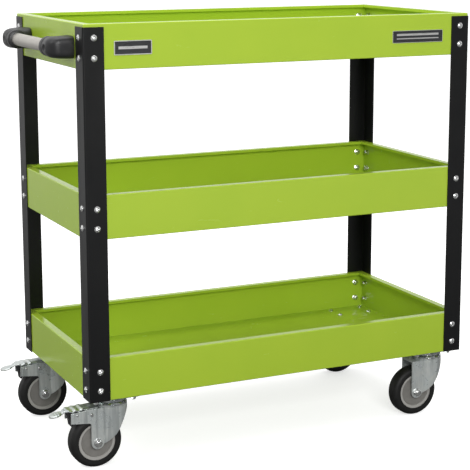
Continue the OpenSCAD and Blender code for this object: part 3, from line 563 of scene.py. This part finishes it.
def dress_frame():
    paint, legs = tray_paint(), leg_paint()
    castor = zinc("castor_zinc", (ZINC, ZINC_WARM), (0.24, 0.38), shade_banding=0.6, matt_below=RACE_HEIGHT)
    bright = zinc("bright_zinc", (BRIGHT_ZINC, (0.80, 0.80, 0.79)), (0.16, 0.28), (1.0, 1.0, 1.0), 0.0001)
    black = moulded_plastic("bracket_plastic", PLASTIC_BLACK, (0.0115, 0.0115, 0.0125), (0.34, 0.46))
    shoe = moulded_plastic("shoe_black", (0.010, 0.010, 0.010), (0.016, 0.016, 0.016), (0.5, 0.7))
    tube = tube_metal()
    by_slot = {
        "tray_paint": paint,
        "leg_paint": legs,
        "castor_zinc": castor,
        "bright_zinc": bright,
        "ball_steel": bright,
        "tube_metal": tube,
        "bracket_plastic": black,
        "shoe_black": shoe,
    }
    for part in frame["record"]["subparts"]:
        node, slot = part["node"], part["material_slot"]
        if slot == "hub_plastic":
            material = hub_plastic("hub_" + node, middle_of(node))
        elif slot == "tyre_rubber":
            material = tyre_rubber("rubber_" + node, middle_of(node))
        elif slot == "plate_face":
            low, high = (Vector(corner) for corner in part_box(node))
            length = high.x - low.x
            wide = length > 0.1
            bars = ([(4 * MM, 2 * MM, length / 2 - 10 * MM), (-4 * MM, 1 * MM, length / 2 - 10 * MM)]
                    if wide else [(0.0, 2.5 * MM, length / 2 - 9 * MM)])
            material = name_plate("face_" + node, low, high, (0.7 if wide else 1.6) * MM, bars)
        else:
            material = by_slot[slot]
        dress(node, material)
    pedal = zinc("pedal_zinc", (ZINC, ZINC_WARM), (0.30, 0.40), (1.0, 0.15, 1.0), 0.0001)
    smooth_pieces(black, pedal)


# Stage

def pale_floor():
    """White to the camera, and a dimmer bounce for the object above it."""
    bpy.ops.mesh.primitive_plane_add(size=60.0, location=(0.0, 0.0, 0.0))
    floor = bpy.context.object
    floor.name = "stage_floor"
    look = Look("stage_floor")
    seen = look.add("ShaderNodeLightPath").outputs["Is Camera Ray"]
    pale = look.blend(look.remap(look.noise(1.5, 2.0), 0.3, 0.7), (0.80, 0.80, 0.80), (0.83, 0.83, 0.83))
    away = look.add("ShaderNodeVectorMath", operation="LENGTH")
    look.join(look.place, away.inputs[0])
    # Painted shade: to all but the camera the floor is darker near the trolley and paler far off.
    bounce = look.blend(look.remap(away.outputs["Value"], 0.8, 4.5), FLOOR_NEAR_SHADED, FLOOR_FAR)
    look.colour(look.blend(seen, bounce, pale))
    look.join(look.remap(seen, 0.0, 1.0, 0.04, 0.62), look.shader.inputs["Emission Strength"])
    look.set(Roughness=0.8, Emission_Color=(1.0, 1.0, 1.0))
    floor.data.materials.append(look.material)


def studio_world():
    """White to the camera; to the object, bright at the sides and above and dim in front."""
    world = bpy.data.worlds.new("studio")
    bpy.context.scene.world = world
    world.use_nodes = True
    tree = world.node_tree
    tree.nodes.clear()

    def add(kind, **values):
        node = tree.nodes.new(kind)
        for key, value in values.items():
            setattr(node, key, value)
        return node

    coords = add("ShaderNodeTexCoord")
    split = add("ShaderNodeSeparateXYZ")
    ramp = add("ShaderNodeValToRGB")
    ramp.color_ramp.elements[0].position = 0.15
    ramp.color_ramp.elements[0].color = (0.34, 0.34, 0.34, 1.0)
    ramp.color_ramp.elements[1].position = 0.62
    ramp.color_ramp.elements[1].color = (1.0, 1.0, 1.0, 1.0)
    remap = add("ShaderNodeMapRange")
    remap.inputs["From Min"].default_value = -1.0
    soft = add("ShaderNodeBackground")
    soft.inputs["Strength"].default_value = 0.95
    white = add("ShaderNodeBackground")
    path = add("ShaderNodeLightPath")
    mix = add("ShaderNodeMixShader")
    out = add("ShaderNodeOutputWorld")
    link = tree.links.new
    link(coords.outputs["Generated"], split.inputs[0])
    link(split.outputs["Y"], remap.inputs["Value"])
    link(remap.outputs["Result"], ramp.inputs["Fac"])
    link(ramp.outputs["Color"], soft.inputs["Color"])
    link(path.outputs["Is Camera Ray"], mix.inputs[0])
    link(soft.outputs[0], mix.inputs[1])
    link(white.outputs[0], mix.inputs[2])
    link(mix.outputs[0], out.inputs[0])


def soft_light(name, place, aim, size, power):
    data = bpy.data.lights.new(name, "AREA")
    data.shape = "RECTANGLE"
    data.size, data.size_y = size
    data.energy = power
    light = bpy.data.objects.new(name, data)
    bpy.context.collection.objects.link(light)
    light.location = place
    light.rotation_euler = (Vector(aim) - Vector(place)).to_track_quat("-Z", "Y").to_euler()


def camera():
    """The photograph's view: a long lens from the front left, a little above the rim."""
    data = bpy.data.cameras.new("camera")
    data.sensor_width = 36.0
    data.lens = 109.10
    data.shift_y = -0.0745
    data.clip_end = 200.0
    view = bpy.data.objects.new("camera", data)
    bpy.context.collection.objects.link(view)
    turn, down, roll = math.radians(25.063), math.radians(10.551), math.radians(-0.131)
    look_at = Vector((math.sin(turn) * math.cos(down), math.cos(turn) * math.cos(down), -math.sin(down)))
    right = Vector((math.cos(turn), -math.sin(turn), 0.0))
    up = right.cross(look_at)
    right, up = (math.cos(roll) * right + math.sin(roll) * up,
                 math.cos(roll) * up - math.sin(roll) * right)
    place = Vector((-1.2532, -2.7166, 1.0333))
    view.matrix_world = Matrix((
        (right.x, up.x, -look_at.x, place.x),
        (right.y, up.y, -look_at.y, place.y),
        (right.z, up.z, -look_at.z, place.z),
        (0.0, 0.0, 0.0, 1.0),
    ))
    bpy.context.scene.camera = view


def stage():
    pale_floor()
    studio_world()
    soft_light("key", (-0.7, -3.4, 1.8), (0.05, 0.0, 0.5), (1.6, 1.2), 76.0)
    soft_light("left", (-2.4, -0.7, 2.8), (-0.4, 0.0, 0.75), (1.4, 1.2), 21.0)
    soft_light("top", (0.2, 0.4, 3.4), (0.0, 0.0, 0.4), (3.0, 2.4), 46.0)
    camera()
    bpy.context.scene.view_settings.view_transform = "Standard"


dress_frame()
stage()
